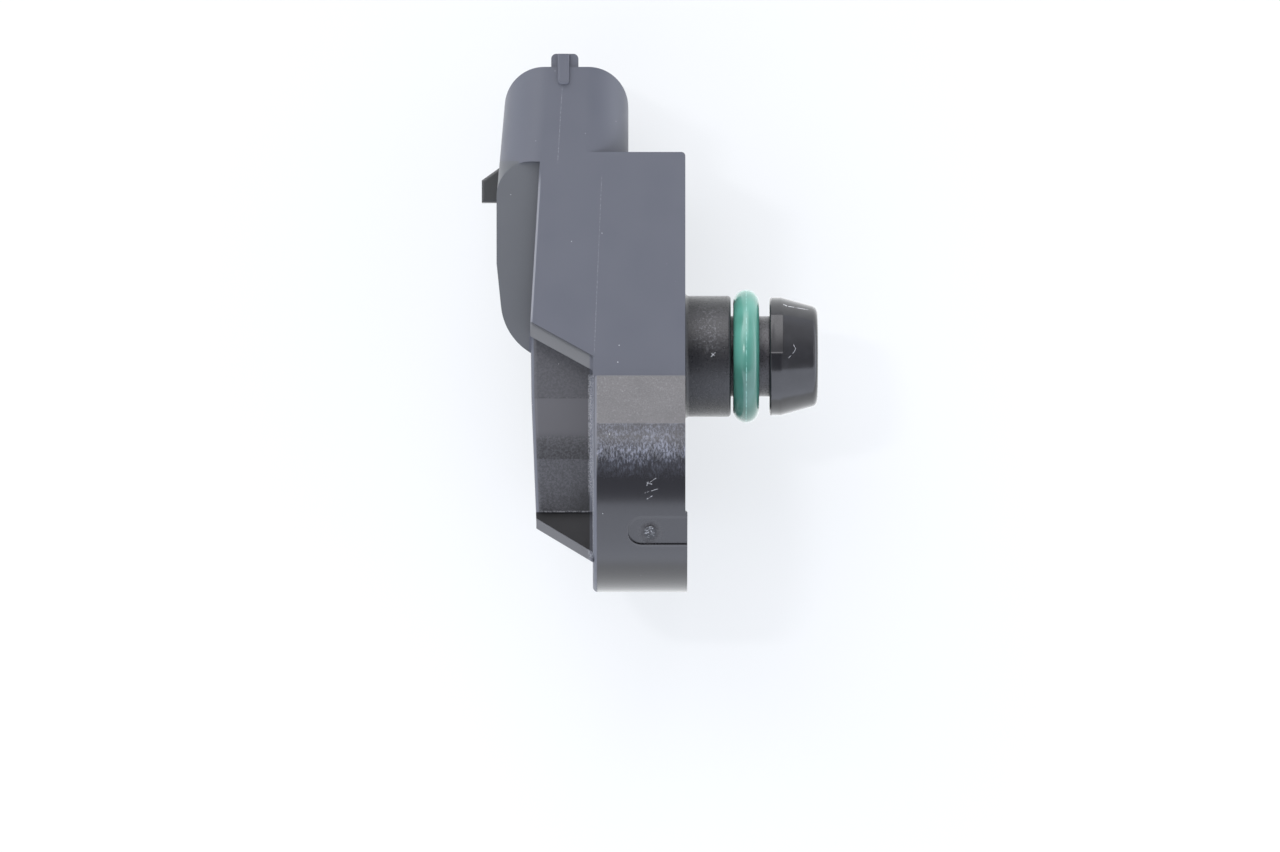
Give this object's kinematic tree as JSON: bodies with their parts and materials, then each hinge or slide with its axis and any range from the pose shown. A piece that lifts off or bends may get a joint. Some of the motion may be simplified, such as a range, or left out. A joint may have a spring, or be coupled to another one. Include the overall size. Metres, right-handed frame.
{
  "type": "manifold absolute pressure sensor",
  "caption": "Plug-in pressure sensor with a side connector, a nozzle sealed by a green ring and a bushed screw ear.",
  "frame": {"origin": "on the nozzle's axis, in the plane where the foot seats on the manifold", "axes": "+Z away from the manifold along the nozzle's axis, +X towards the connector's mouth, Y across the width"},
  "size_m": [0.0536, 0.0278, 0.0336],
  "materials": {
    "housing": "black glass-filled plastic, fine satin texture",
    "port_cover": "black plastic, semi-gloss",
    "adhesive": "dark sealing bead",
    "seal_ring": "green rubber, lightly oiled",
    "mounting_bush": "turned, zinc plated",
    "terminals": "tin plated",
    "board": "white ceramic",
    "cell_frame": "black moulded ring",
    "glass_base": "clear glass",
    "pressure_die": "polished silicon",
    "die_gel": "soft clear gel",
    "chip": "black moulding",
    "capacitors": "tan ceramic",
    "feed_wires": "drawn aluminium",
    "die_wires": "gold wire"
  },
  "bodies": {
    "root": {"housing": "housing", "port_cover": "port_cover", "cover_adhesive": "adhesive", "seal_ring": "seal_ring", "mounting_bush": "mounting_bush", "terminal_supply": "terminals", "terminal_signal": "terminals", "terminal_ground": "terminals", "circuit_board": "board", "board_adhesive": "adhesive", "cell_frame": "cell_frame", "glass_base": "glass_base", "pressure_die": "pressure_die", "die_gel": "die_gel", "signal_chip": "chip", "capacitor_supply": "capacitors", "capacitor_signal": "capacitors", "capacitor_ground": "capacitors", "terminal_wires": "feed_wires", "die_wires": "die_wires"}
  },
  "joints": []
}
